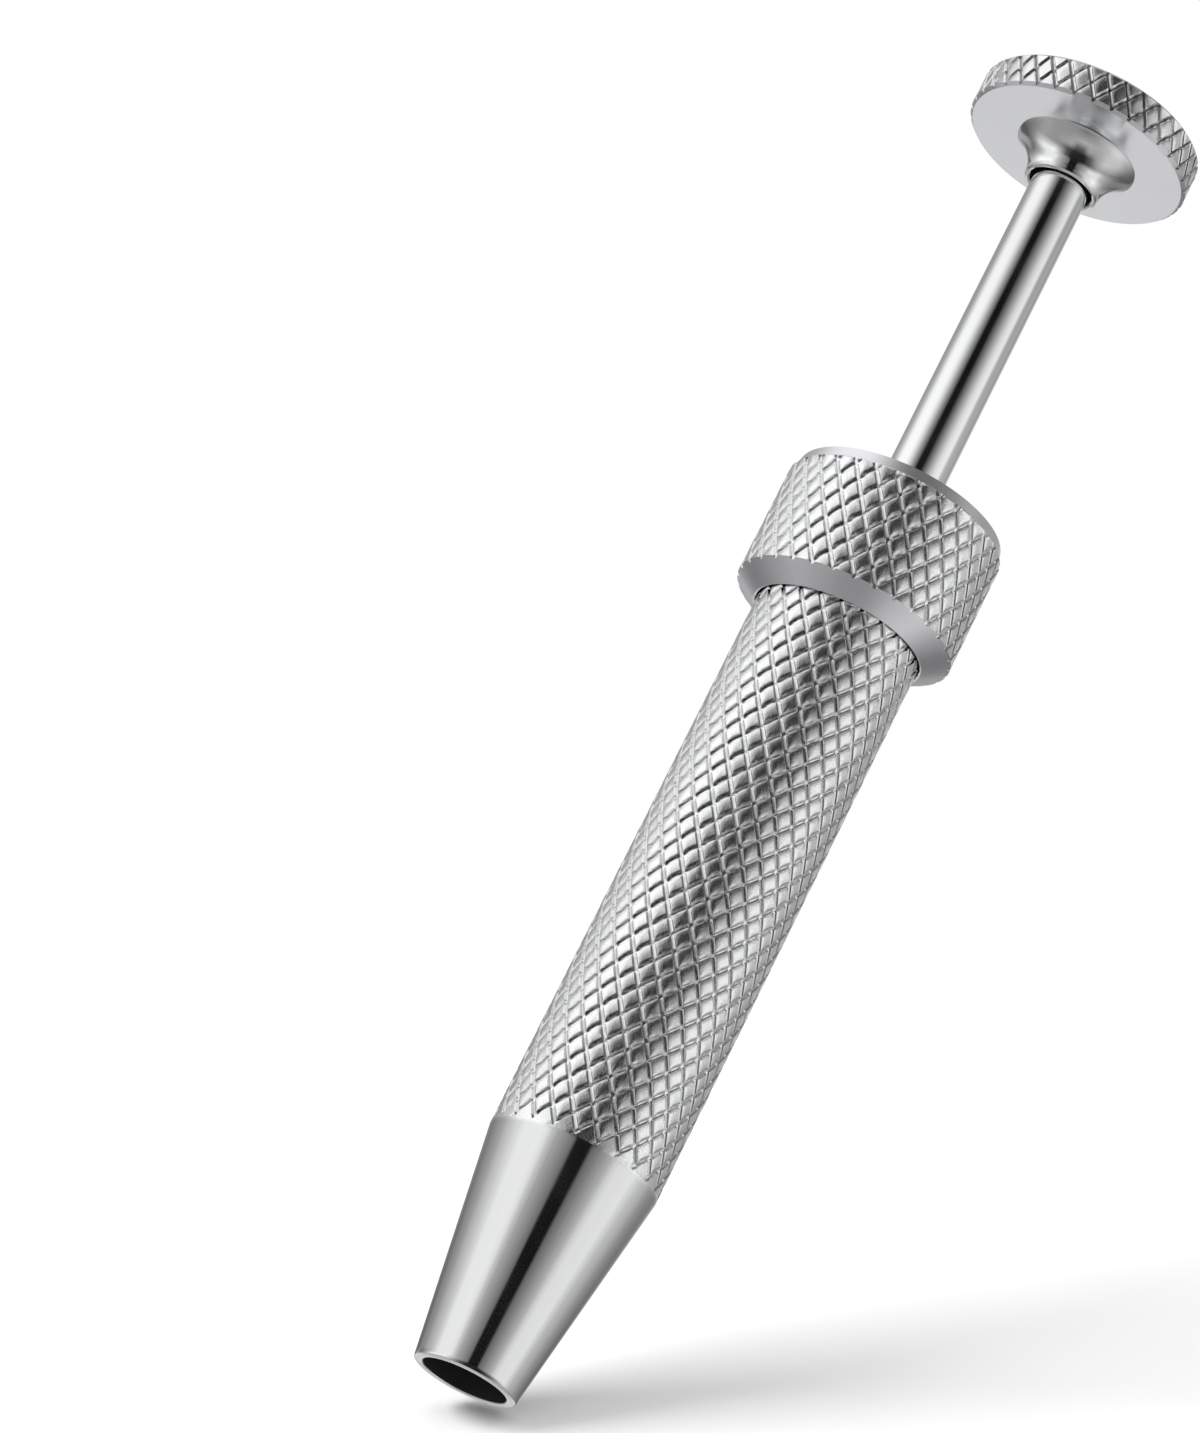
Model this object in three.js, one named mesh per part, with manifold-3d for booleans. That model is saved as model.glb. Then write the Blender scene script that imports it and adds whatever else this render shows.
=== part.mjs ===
// Spring-loaded pick-up tool with four wire claws, in millimetres.
// +Z runs up the axis, from the open mouth of the nose (z = 0) to the thumb button.
import * as THREE from 'three';
import { mergeVertices } from 'three/addons/utils/BufferGeometryUtils.js';
import Module from 'manifold-3d';

const wasm = await Module();
wasm.setup();

// ---- driving dimensions: push rod and spring, from the axis outwards
const rodDiameter = 4.0;
const springRodGap = 0.75;        // rod to the inside of the coils
const springWire = 0.7;
const springCoils = 18;
const springBoreGap = 0.35;       // outside of the coils to the barrel's bore
const stopLanding = 0.5;          // step in the bore that ends the stroke
const neckWall = 0.9;
const gripShoulder = 0.55;        // step from the neck up to the knurled grip
const flangeWidth = 1.85;         // collar standing out past the grip

// ---- driving dimensions: lengths along the axis
const noseLength = 15.4;
const gripLength = 39.65;         // knurled length that shows below the collar
const collarHeight = 9.85;
const collarRecess = 1.4;         // depth of grip hidden inside the collar's lower mouth
const collarCap = 2.6;            // thickness of the collar's closed end
const exposedRod = 26.4;          // rod that shows above the collar at rest
const stroke = 11.0;              // how far the button can be pressed
const stopRingHeight = 2.5;
const seatThickness = 0.7;

// ---- driving dimensions: nose and collar edges
const lipWidth = 0.63;            // wall of the nose at its mouth
const lipChamfer = 0.15;
const collarLowerBevel = 1.45;     // radial width of the bevel under the collar
const collarLowerRise = 1.1;
const collarUpperBevel = 0.35;
const collarUpperRise = 0.9;

// ---- driving dimensions: thumb button
const buttonDiameter = 15.7;
const buttonThickness = 2.6;
const buttonEdge = 0.18;          // bright bevel on each edge of the knurled rim
const hubLength = 2.75;
const hubWall = 0.3;              // wall of the hub at its mouth
const hubRodGap = 0.32;           // dark gap round the rod at the hub's mouth
const hubFlare = 1.63;            // how far the hub widens towards the disc
const hubFlareTurn = 68;          // degrees that its side turns outwards
const hubLip = 0.2;               // step from the widened edge to the disc
const counterboreDepth = 0.8;

// ---- driving dimensions: studs at the two ends of the rod
const upperStudDiameter = 3.0;
const upperStudLength = 3.2;
const lowerStudDiameter = 2.4;
const lowerStudLength = 2.6;
const studEndGap = 0.25;          // room past the end of a stud in its hole

// ---- driving dimensions: claws and the carrier that holds them
const clawCount = 4;
const clawWire = 0.6;
const clawPivotRadius = 0.95;
const clawPivotInset = 1.0;       // height of the pivots above the lip at full stroke
const clawProtrusion = 8.4;       // how far the claws stand out at full stroke
const clawRestSplay = 4;          // degrees from the axis at rest
const clawTurn = 14;              // degrees turned over the stroke
const clawRoot = 1.2;             // wire above its pivot
const clawBend = 0.7;             // outside radius of the hook's bend
const clawHookTurn = 98;          // degrees from the leg round to the hook
const clawHookLength = 0.35;
const carrierStep = 0.45;         // carrier standing out past the rod
const carrierBoreGap = 0.4;       // carrier to the bore of the nose
const carrierSkirt = 0.3;         // carrier below the pivots
const carrierHead = 3.4;          // solid length above the slots
const slotSideGap = 0.2;          // wire to each side of its slot
const ferruleWall = 0.35;
const ferruleSetback = 0.2;       // ferrule above the carrier's lower face

// ---- driving dimensions: knurls
const knurlDepth = 0.28;
const knurlAngle = 36.5;          // degrees between a groove and the axis
const gripStarts = 24;            // grooves of each hand round the grip
const flangeStarts = 32;          // the same round the collar
const buttonStarts = 36;          // and round the button

// ---- clearances
const slidingClearance = 0.08;    // rod in the collar's hole, stop ring in its bore
const seatedClearance = 0.05;     // screwed, pressed and resting faces
const seatClearance = 0.35;       // rod inside the spring seat, seat above the carrier

// ---- radii worked out from the rod outwards
const rodRadius = rodDiameter / 2;
const coilInner = rodRadius + springRodGap;
const coilMean = coilInner + springWire / 2;
const springBore = coilInner + springWire + springBoreGap;
const stopBore = springBore + stopLanding;
const neckRadius = stopBore + neckWall;
const gripRadius = neckRadius + gripShoulder;
const collarRadius = gripRadius + flangeWidth;
const carrierRadius = rodRadius + carrierStep;
const mouthRadius = carrierRadius + carrierBoreGap;
const noseTipRadius = mouthRadius + lipWidth;
const buttonRadius = buttonDiameter / 2;

// ---- heights worked out from the mouth upwards
const pivotZ = stroke + clawPivotInset;
const carrierBottomZ = pivotZ - carrierSkirt;
const slotTopZ = pivotZ + clawRoot + seatClearance;
const carrierTopZ = slotTopZ + carrierHead;
const springSeatZ = carrierTopZ + seatClearance;
const springBottomZ = springSeatZ + seatThickness + 2 * seatedClearance;
const collarBottomZ = noseLength + gripLength;
const gripTopZ = collarBottomZ + collarRecess;
const collarTopZ = collarBottomZ + collarHeight;
const capUnderZ = collarTopZ - collarCap;
const neckTopZ = capUnderZ - seatedClearance;
const stopRingTopZ = capUnderZ - seatedClearance;
const stopRingBottomZ = stopRingTopZ - stopRingHeight;
const stopStepZ = stopRingBottomZ - stroke - seatedClearance;
const springTopZ = stopRingBottomZ - seatedClearance;
const hubMouthZ = collarTopZ + exposedRod;
const counterboreZ = hubMouthZ + counterboreDepth;
const buttonUnderZ = hubMouthZ + hubLength;
const buttonTopZ = buttonUnderZ + buttonThickness;

const plainSegments = 48;
const wireSides = 8;

const radians = (degrees) => degrees * Math.PI / 180;

const chrome = { color: 0xd6d8da, metalness: 1, roughness: 0.14 };
const springSteel = { color: 0xa9adb2, metalness: 1, roughness: 0.26 };
const brass = { color: 0xb7975a, metalness: 1, roughness: 0.34 };

function piece(name, geometry, look) {
  const mesh = new THREE.Mesh(geometry, new THREE.MeshStandardMaterial(look));
  mesh.name = name;
  return mesh;
}

// ---- turned shapes: a profile of [radius, z] points spun about +Z
function turned(profile, segments = plainSegments) {
  const points = profile.map(([radius, z]) => new THREE.Vector2(radius, z));
  return new THREE.LatheGeometry(points, segments).rotateX(Math.PI / 2);
}

const closed = (profile) => [...profile, profile[0]];

// Rows of a knurl between two heights, each half a diamond high.
function knurlRows(radius, starts, bottomZ, topZ) {
  const diamondWidth = 2 * Math.PI * radius / starts;
  const rowHeight = diamondWidth / Math.tan(radians(knurlAngle)) / 2;
  const rows = Math.max(2, Math.round((topZ - bottomZ) / rowHeight));
  return Array.from({ length: rows + 1 }, (_, row) => [radius, bottomZ + (topZ - bottomZ) * row / rows]);
}

// Presses every second point of the rows first..last inwards, and folds the faces along the
// grooves, so that each diamond is a four-sided pyramid.
function knurled(profile, starts, first, last) {
  const segments = 2 * starts;
  const geometry = turned(profile, segments);
  const count = profile.length;
  const position = geometry.getAttribute('position');
  const isGroove = (side, row) => row >= first && row <= last && (side + row) % 2 === 1;
  const faces = [];
  for (let side = 0; side <= segments; side++) {
    for (let row = 0; row < count; row++) {
      const index = side * count + row;
      if (isGroove(side, row)) {
        const scale = 1 - knurlDepth / profile[row][0];
        position.setXY(index, position.getX(index) * scale, position.getY(index) * scale);
      }
      if (side === segments || row === count - 1) continue;
      const [a, b, c, d] = [index, index + count, index + count + 1, index + 1];
      const foldsUp = isGroove(side, row) || isGroove(side + 1, row + 1);
      if (foldsUp) faces.push(a, b, c, a, c, d);
      else faces.push(a, b, d, c, d, b);
    }
  }
  geometry.setIndex(faces);
  return geometry;
}

// ---- round wire along points, with flat ends; `across` is never parallel to the wire
function wire(points, radius, sides, across) {
  const vertices = [];
  const faces = [];
  points.forEach((point, step) => {
    const before = points[Math.max(0, step - 1)];
    const after = points[Math.min(points.length - 1, step + 1)];
    const along = new THREE.Vector3().subVectors(after, before).normalize();
    const right = new THREE.Vector3().crossVectors(along, across(point)).normalize();
    const up = new THREE.Vector3().crossVectors(right, along);
    for (let side = 0; side < sides; side++) {
      const angle = 2 * Math.PI * side / sides;
      const rim = right.clone().multiplyScalar(radius * Math.cos(angle));
      vertices.push(...point.clone().add(rim).addScaledVector(up, radius * Math.sin(angle)).toArray());
    }
  });
  for (let step = 0; step < points.length - 1; step++) {
    for (let side = 0; side < sides; side++) {
      const next = (side + 1) % sides;
      const [a, b] = [step * sides + side, step * sides + next];
      faces.push(a, a + sides, b, b, a + sides, b + sides);
    }
  }
  const lastRing = (points.length - 1) * sides;
  for (let side = 1; side < sides - 1; side++) {
    faces.push(0, side, side + 1);
    faces.push(lastRing, lastRing + side + 1, lastRing + side);
  }
  const geometry = new THREE.BufferGeometry();
  geometry.setAttribute('position', new THREE.Float32BufferAttribute(vertices, 3));
  geometry.setIndex(faces);
  return geometry;
}

// ---- boolean cuts
function solidOf(geometry) {
  const plain = geometry.clone();
  plain.deleteAttribute('normal');
  plain.deleteAttribute('uv');
  const merged = mergeVertices(plain, 1e-4);
  const vertProperties = new Float32Array(merged.getAttribute('position').array);
  const triVerts = new Uint32Array(merged.index.array);
  return new wasm.Manifold(new wasm.Mesh({ numProp: 3, vertProperties, triVerts }));
}

function geometryOf(solid) {
  const { vertProperties, triVerts } = solid.getMesh();
  const geometry = new THREE.BufferGeometry();
  geometry.setAttribute('position', new THREE.BufferAttribute(vertProperties, 3));
  geometry.setIndex(new THREE.BufferAttribute(triVerts, 1));
  geometry.computeVertexNormals();
  return geometry;
}

// ---- the pieces
function barrel() {
  const rows = knurlRows(gripRadius, gripStarts, noseLength, gripTopZ);
  const lip = [[noseTipRadius - lipChamfer, 0], [noseTipRadius, lipChamfer]];
  const neck = [[neckRadius, gripTopZ], [neckRadius, neckTopZ]];
  const bores = [
    [stopBore, neckTopZ], [stopBore, stopStepZ],
    [springBore, stopStepZ], [springBore, springSeatZ],
    [mouthRadius, springSeatZ], [mouthRadius, 0],
  ];
  const profile = closed([...lip, ...rows, ...neck, ...bores]);
  return piece('barrel', knurled(profile, gripStarts, lip.length + 1, lip.length + rows.length - 2), chrome);
}

function collar() {
  const bandBottomZ = collarBottomZ + collarLowerRise;
  const bandTopZ = collarTopZ - collarUpperRise;
  const rows = knurlRows(collarRadius, flangeStarts, bandBottomZ, bandTopZ);
  const recessRadius = gripRadius + seatedClearance;
  const threadRadius = neckRadius + seatedClearance;
  const holeRadius = rodRadius + slidingClearance;
  const lower = [
    [threadRadius, gripTopZ + seatedClearance], [recessRadius, gripTopZ + seatedClearance],
    [recessRadius, collarBottomZ], [collarRadius - collarLowerBevel, collarBottomZ],
  ];
  const upper = [
    [collarRadius - collarUpperBevel, collarTopZ],
    [holeRadius, collarTopZ], [holeRadius, capUnderZ], [threadRadius, capUnderZ],
  ];
  const profile = closed([...lower, ...rows, ...upper]);
  const last = lower.length + rows.length - 2;
  return piece('collar', knurled(profile, flangeStarts, lower.length + 1, last), chrome);
}

function pushRod() {
  const lowerStud = lowerStudDiameter / 2;
  const upperStud = upperStudDiameter / 2;
  const lowerShoulderZ = carrierTopZ + seatedClearance;
  const upperShoulderZ = counterboreZ - seatedClearance;
  return piece('push_rod', turned([
    [0, lowerShoulderZ - lowerStudLength], [lowerStud, lowerShoulderZ - lowerStudLength],
    [lowerStud, lowerShoulderZ], [rodRadius, lowerShoulderZ],
    [rodRadius, upperShoulderZ], [upperStud, upperShoulderZ],
    [upperStud, upperShoulderZ + upperStudLength], [0, upperShoulderZ + upperStudLength],
  ]), chrome);
}

function stopRing() {
  const inner = rodRadius + seatedClearance;
  const outer = stopBore - slidingClearance;
  return piece('stop_ring', turned(closed([
    [inner, stopRingBottomZ], [outer, stopRingBottomZ], [outer, stopRingTopZ], [inner, stopRingTopZ],
  ])), brass);
}

function springSeat() {
  const inner = rodRadius + seatClearance;
  const outer = springBore - slidingClearance;
  const bottomZ = springSeatZ + seatedClearance;
  return piece('spring_seat', turned(closed([
    [inner, bottomZ], [outer, bottomZ], [outer, bottomZ + seatThickness], [inner, bottomZ + seatThickness],
  ])), brass);
}

function returnSpring() {
  const stepsPerCoil = 8;
  const sides = 5;
  const startZ = springBottomZ + springWire / 2;
  const rise = springTopZ - springBottomZ - springWire;
  const steps = springCoils * stepsPerCoil;
  const points = Array.from({ length: steps + 1 }, (_, step) => {
    const angle = 2 * Math.PI * step / stepsPerCoil;
    return new THREE.Vector3(coilMean * Math.cos(angle), coilMean * Math.sin(angle), startZ + rise * step / steps);
  });
  let leastGap = Infinity;
  for (let near = 0; near < points.length; near++) {
    for (let far = near + stepsPerCoil / 2; far < points.length; far++) {
      leastGap = Math.min(leastGap, points[near].distanceTo(points[far]) - springWire);
    }
  }
  console.log(`return_spring: least gap between coils ${leastGap.toFixed(2)} mm`);
  const geometry = wire(points, springWire / 2, sides, () => new THREE.Vector3(0, 0, 1));
  return piece('return_spring', geometry, springSteel);
}

function thumbButton() {
  const gapRadius = rodRadius + hubRodGap;
  const mouthOuter = gapRadius + hubWall;
  const holeRadius = upperStudDiameter / 2 + seatedClearance;
  const holeTopZ = counterboreZ - seatedClearance + upperStudLength + studEndGap;
  const flareSteps = 6;
  const edgeTurn = radians(hubFlareTurn);
  const flare = Array.from({ length: flareSteps + 1 }, (_, step) => {
    const angle = edgeTurn * step / flareSteps;
    const outwards = (1 - Math.cos(angle)) / (1 - Math.cos(edgeTurn));
    const upwards = Math.sin(angle) / Math.sin(edgeTurn);
    return [mouthOuter + hubFlare * outwards, hubMouthZ + (hubLength - hubLip) * upwards];
  });
  flare.push([mouthOuter + hubFlare, buttonUnderZ]);
  const rows = knurlRows(buttonRadius, buttonStarts, buttonUnderZ + buttonEdge, buttonTopZ - buttonEdge);
  const inside = [[0, holeTopZ], [holeRadius, holeTopZ], [holeRadius, counterboreZ], [gapRadius, counterboreZ]];
  const underside = [[gapRadius, hubMouthZ], ...flare, [buttonRadius - buttonEdge, buttonUnderZ]];
  const top = [[buttonRadius - buttonEdge, buttonTopZ], [0, buttonTopZ]];
  const first = inside.length + underside.length;
  const profile = [...inside, ...underside, ...rows, ...top];
  return piece('thumb_button', knurled(profile, buttonStarts, first + 1, first + rows.length - 2), chrome);
}

function clawCarrier() {
  const prongRadius = carrierRadius - ferruleWall;
  const stepZ = slotTopZ - seatClearance;
  const holeRadius = lowerStudDiameter / 2 + seatedClearance;
  const holeBottomZ = carrierTopZ - lowerStudLength - studEndGap;
  const blank = turned([
    [0, carrierBottomZ], [prongRadius, carrierBottomZ], [prongRadius, stepZ], [carrierRadius, stepZ],
    [carrierRadius, carrierTopZ], [holeRadius, carrierTopZ], [holeRadius, holeBottomZ], [0, holeBottomZ],
  ]);
  const slotDepth = slotTopZ - carrierBottomZ;
  const slotWidth = clawWire + 2 * slotSideGap;
  const slot = new THREE.BoxGeometry(2 * (carrierRadius + slotSideGap), slotWidth, 2 * slotDepth);
  slot.translate(0, 0, carrierBottomZ);
  let solid = solidOf(blank);
  for (let index = 0; index < clawCount / 2; index++) {
    solid = solid.subtract(solidOf(slot.clone().rotateZ(2 * Math.PI * index / clawCount)));
  }
  return piece('claw_carrier', geometryOf(solid), brass);
}

function clawFerrule() {
  const inner = carrierRadius - ferruleWall + seatedClearance;
  const bottomZ = carrierBottomZ + ferruleSetback;
  const topZ = slotTopZ - seatClearance - seatedClearance;
  return piece('claw_ferrule', turned(closed([
    [inner, bottomZ], [carrierRadius, bottomZ], [carrierRadius, topZ], [inner, topZ],
  ])), springSteel);
}

// One claw in its own X-Z plane: root, straight leg, then a hook turned in towards the axis.
function claw(index) {
  const radius = clawWire / 2;
  const openAngle = radians(clawRestSplay + clawTurn);
  const legLength = (clawPivotInset + clawProtrusion - radius) / Math.cos(openAngle);
  const bendSteps = 6;
  const points = [new THREE.Vector3(0, 0, clawRoot), new THREE.Vector3(0, 0, 0)];
  for (let step = 0; step <= bendSteps; step++) {
    const angle = radians(clawHookTurn) * step / bendSteps;
    points.push(new THREE.Vector3(
      clawBend * (Math.cos(angle) - 1), 0, clawBend * (1 - Math.sin(angle)) - legLength));
  }
  const hook = radians(clawHookTurn);
  const hookWay = new THREE.Vector3(-Math.sin(hook), 0, -Math.cos(hook));
  points.push(points.at(-1).clone().addScaledVector(hookWay, clawHookLength));
  const geometry = wire(points, radius, wireSides, () => new THREE.Vector3(0, 1, 0));
  geometry.rotateY(-radians(clawRestSplay));
  geometry.translate(clawPivotRadius, 0, pivotZ);
  const mesh = piece(`claw_${index + 1}`, geometry, springSteel);
  mesh.rotation.z = 2 * Math.PI * index / clawCount;
  return mesh;
}

const tool = new THREE.Group();
tool.add(
  barrel(), collar(), springSeat(), returnSpring(),
  pushRod(), stopRing(), thumbButton(), clawCarrier(), clawFerrule(),
);
for (let index = 0; index < clawCount; index++) tool.add(claw(index));

export default tool;
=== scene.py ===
import math
import bpy
import bmesh
from mathutils import Matrix, Vector, noise


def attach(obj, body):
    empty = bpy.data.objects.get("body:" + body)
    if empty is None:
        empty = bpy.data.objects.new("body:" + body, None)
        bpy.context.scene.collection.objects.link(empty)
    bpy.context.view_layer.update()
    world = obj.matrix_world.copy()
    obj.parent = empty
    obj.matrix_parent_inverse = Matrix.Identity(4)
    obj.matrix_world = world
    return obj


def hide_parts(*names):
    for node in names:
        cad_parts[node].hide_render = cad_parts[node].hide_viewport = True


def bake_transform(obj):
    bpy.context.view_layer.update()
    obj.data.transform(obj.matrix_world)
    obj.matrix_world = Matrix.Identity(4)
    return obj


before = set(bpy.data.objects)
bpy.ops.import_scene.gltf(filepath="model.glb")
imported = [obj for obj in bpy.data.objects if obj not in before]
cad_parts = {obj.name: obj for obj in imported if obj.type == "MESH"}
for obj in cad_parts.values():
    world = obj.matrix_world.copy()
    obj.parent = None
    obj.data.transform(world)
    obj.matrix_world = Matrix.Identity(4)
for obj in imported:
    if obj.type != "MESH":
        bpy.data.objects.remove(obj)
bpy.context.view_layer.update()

# Pieces are built in millimetres, in the CAD frame, and made metres when they are finished.
toMetres = 0.001
fullTurn = 2 * math.pi
noise.seed_set(24)  # left unset, the knurl's wobble would differ from run to run
mergeDistance = 5e-4
sharpAngle = 26     # degrees, from which an edge is shaded sharp
chromeSlot, satinSlot, turnedSlot, knurlSlot, boreShadeSlot, grooveShadeSlot = range(6)


# Read from the photograph, whose long side has 1433 pixels. It looks up from below the collar.
viewpoint = {
    "longSide": 1433,
    "focalPixels": 5286,
    "sensor": 36,
    "nearest": 0.01,        # metres
    "place": (0, -317.34, -74.83),
    "right": (0.8941, -0.1274, 0.4293),
    "down": (0.4466, 0.3247, -0.8338),
}


def makeCamera():
    lens = bpy.data.cameras.new("photoCamera")
    lens.sensor_width = viewpoint["sensor"]
    lens.lens = lens.sensor_width * viewpoint["focalPixels"] / viewpoint["longSide"]
    lens.clip_start = viewpoint["nearest"]
    right = Vector(viewpoint["right"]).normalized()
    up = -Vector(viewpoint["down"])
    up = (up - right * up.dot(right)).normalized()
    back = right.cross(up)
    camera = bpy.data.objects.new("photoCamera", lens)
    turned = Matrix((right, up, back)).transposed().to_4x4()
    camera.matrix_world = Matrix.Translation(Vector(viewpoint["place"]) * toMetres) @ turned
    bpy.context.scene.collection.objects.link(camera)
    bpy.context.scene.camera = camera
    return right, up, back


# A value is a number, set on the socket, or another node's output, linked to it.
def wire(tree, value, socket):
    if isinstance(value, (int, float)):
        socket.default_value = value
    else:
        tree.links.new(value, socket)


def maths(tree, operation, *values):
    node = tree.nodes.new("ShaderNodeMath")
    node.operation = operation
    for value, socket in zip(values, node.inputs):
        wire(tree, value, socket)
    return node.outputs[0]


def ramp(tree, value, fromLow, fromHigh, toLow, toHigh, smooth=False):
    node = tree.nodes.new("ShaderNodeMapRange")
    if smooth:
        node.interpolation_type = "SMOOTHSTEP"
    for label, number in (("From Min", fromLow), ("From Max", fromHigh),
                          ("To Min", toLow), ("To Max", toHigh)):
        node.inputs[label].default_value = number
    tree.links.new(value, node.inputs["Value"])
    return node.outputs[0]


def blendValue(tree, amount, first, second):
    node = tree.nodes.new("ShaderNodeMix")
    node.data_type = "FLOAT"
    wire(tree, amount, node.inputs[0])
    wire(tree, first, node.inputs[2])
    wire(tree, second, node.inputs[3])
    return node.outputs[0]


def vectorMaths(tree, operation, vector, second=None):
    node = tree.nodes.new("ShaderNodeVectorMath")
    node.operation = operation
    tree.links.new(vector, node.inputs[0])
    if second is not None:
        node.inputs[1].default_value = second
    return node


def addNoise(tree, scale, detail):
    node = tree.nodes.new("ShaderNodeTexNoise")
    node.inputs["Scale"].default_value = scale
    node.inputs["Detail"].default_value = detail
    return node


def objectPlace(tree):
    return tree.nodes.new("ShaderNodeTexCoord").outputs["Object"]


# What the metal mirrors is a ring of levels round the object at each of several heights.
# Heights run from -1, straight down, to 1, straight up. Azimuths are in degrees from the camera's side,
# positive towards +X.
noseRing = [(-180, 0.6), (-165, 0.55), (-157, 0.37), (-142, 0.31), (-134, 0.2), (-126, 0.16), (-118, 0.27),
            (-102, 0.43), (-95, 0.52), (-87, 0.68), (-79, 0.84), (-55, 0.86), (-47, 0.79), (-40, 0.54),
            (-32, 0.365), (-16, 0.2), (-11, 0.15), (-9, 0.008), (10, 0.006), (13, 0.13), (24, 0.23),
            (40, 0.43), (47, 0.63), (55, 0.76), (79, 0.79), (87, 0.63), (95, 0.47), (118, 0.3), (134, 0.2),
            (157, 0.22), (165, 0.37), (180, 0.55)]
studio = {
    "plain": 0.8,
    "belts": [
        {"height": -1.0, "levels": [(-180, 0.07), (180, 0.07)]},
        {"height": -0.96, "levels": [(-180, 0.3), (-120, 0.3), (0, 0.25), (50, 0.3), (114, 0.7),
                                     (150, 0.35), (180, 0.3)]},
        {"height": -0.85, "levels": [(-180, 0.45), (-150, 0.45), (-120, 0.45), (-95, 0.3), (-50, 0.3),
                                     (0, 0.42), (50, 0.4), (80, 0.5), (114, 0.9), (140, 0.4),
                                     (180, 0.45)]},
        {"height": -0.7, "levels": [(-180, 0.5), (-140, 0.2), (-105, 0.35), (-75, 0.3), (-50, 0.35),
                                    (-24, 0.38), (-8, 0.12), (12, 0.12), (28, 0.37), (40, 0.35),
                                    (60, 0.4), (80, 0.55), (110, 0.6), (140, 0.2), (180, 0.5)]},
        {"height": -0.52, "levels": [(-180, 0.65), (-165, 0.35), (-145, 0.1), (-105, 0.35), (-75, 0.3),
                                     (-50, 0.25), (-28, 0.08), (-10, 0.02), (20, 0.015), (40, 0.12),
                                     (60, 0.4), (80, 0.6), (110, 0.5), (145, 0.1), (165, 0.35),
                                     (180, 0.65)]},
        {"height": -0.26, "levels": [(-180, 0.85), (-170, 0.75), (-158, 0.1), (-140, 0.1), (-122, 0.3),
                                     (-108, 0.65), (-92, 0.9), (-60, 0.95), (-44, 0.5), (-28, 0.12),
                                     (-14, 0.015), (25, 0.01), (45, 0.1), (70, 0.35), (100, 0.3),
                                     (130, 0.12), (158, 0.1), (170, 0.75), (180, 0.85)]},
        {"height": -0.16, "levels": [(-180, 0.6), (-172, 0.45), (-162, 0.1), (-140, 0.12), (-118, 0.3),
                                     (-92, 0.75), (-60, 0.9), (-40, 0.5), (-16, 0.15), (-9, 0.01),
                                     (10, 0.01), (40, 0.3), (79, 0.7), (100, 0.4), (140, 0.1), (162, 0.1),
                                     (172, 0.45), (180, 0.6)]},
        {"height": -0.09, "levels": noseRing},
        {"height": 0.03, "levels": noseRing},
        {"height": 0.15, "levels": [(-180, 0.12), (-150, 0.12), (-118, 0.4), (-92, 0.9), (-60, 1.0),
                                    (-40, 0.5), (-16, 0.15), (-9, 0.01), (10, 0.01), (40, 0.5), (79, 0.9),
                                    (118, 0.3), (150, 0.12), (180, 0.12)]},
        {"height": 0.32, "levels": [(-180, 0.5), (-168, 0.4), (-150, 0.36), (-128, 0.55), (-112, 0.85),
                                    (-96, 1.2), (-62, 1.2), (-50, 0.85), (-40, 0.5), (-32, 0.28),
                                    (-20, 0.08), (-14, 0.015), (6, 0.015), (13, 0.1), (24, 0.3),
                                    (40, 0.7), (52, 1.0), (82, 1.05), (94, 0.75), (110, 0.45),
                                    (136, 0.35), (152, 0.45), (168, 0.7), (180, 0.6)]},
        {"height": 0.45, "levels": [(-180, 0.45), (-168, 0.29), (-150, 0.33), (-128, 0.34), (-112, 0.52),
                                    (-96, 0.86), (-84, 0.96), (-62, 0.94), (-48, 0.71), (-40, 0.51),
                                    (-32, 0.32), (-24, 0.18), (-17, 0.05), (-14, 0.005), (4, 0.005),
                                    (10, 0.05), (24, 0.18), (40, 0.37), (56, 0.63), (72, 0.81),
                                    (82, 0.79), (89, 0.5), (96, 0.35), (120, 0.4), (136, 0.31),
                                    (144, 0.34), (152, 0.49), (168, 0.75), (180, 0.6)]},
        {"height": 0.72, "levels": [(-180, 0.4), (-145, 0.5), (-120, 0.9), (-55, 0.95), (-35, 0.4),
                                    (-15, 0.1), (0, 0.07), (60, 0.1), (120, 0.2), (150, 0.3),
                                    (180, 0.35)]},
        {"height": 0.93, "levels": [(-180, 0.4), (-130, 0.9), (-60, 0.9), (-30, 0.3), (0, 0.15),
                                    (60, 0.12), (130, 0.16), (180, 0.35)]},
    ],
}


def ringOfLevels(tree, share, levels):
    node = tree.nodes.new("ShaderNodeValToRGB")
    stops = node.color_ramp.elements
    while len(stops) < len(levels):
        stops.new(0.5)
    for stop, (azimuth, level) in zip(stops, levels):
        stop.position = 0.5 + azimuth / 360
        stop.color = (level, level, level, 1)
    tree.links.new(share, node.inputs[0])
    return node.outputs["Color"]


def makeStudio():
    world = bpy.data.worlds.new("studio")
    bpy.context.scene.world = world
    world.use_nodes = True
    tree = world.node_tree
    way = tree.nodes.new("ShaderNodeSeparateXYZ")
    tree.links.new(tree.nodes.new("ShaderNodeTexCoord").outputs["Generated"], way.inputs[0])
    nearwards = maths(tree, "MULTIPLY", way.outputs["Y"], -1)
    turn = maths(tree, "DIVIDE", maths(tree, "ARCTAN2", way.outputs["X"], nearwards), fullTurn)
    share = maths(tree, "ADD", turn, 0.5)
    belts = studio["belts"]
    mirrored = ringOfLevels(tree, share, belts[0]["levels"])
    for below, belt in zip(belts, belts[1:]):
        climb = ramp(tree, way.outputs["Z"], below["height"], belt["height"], 0, 1)
        mirrored = blendValue(tree, climb, mirrored, ringOfLevels(tree, share, belt["levels"]))
    path = tree.nodes.new("ShaderNodeLightPath")
    seen = blendValue(tree, path.outputs["Is Glossy Ray"], studio["plain"], mirrored)
    seen = blendValue(tree, path.outputs["Is Camera Ray"], seen, 1)
    tree.links.new(seen, tree.nodes["Background"].inputs["Color"])


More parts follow.
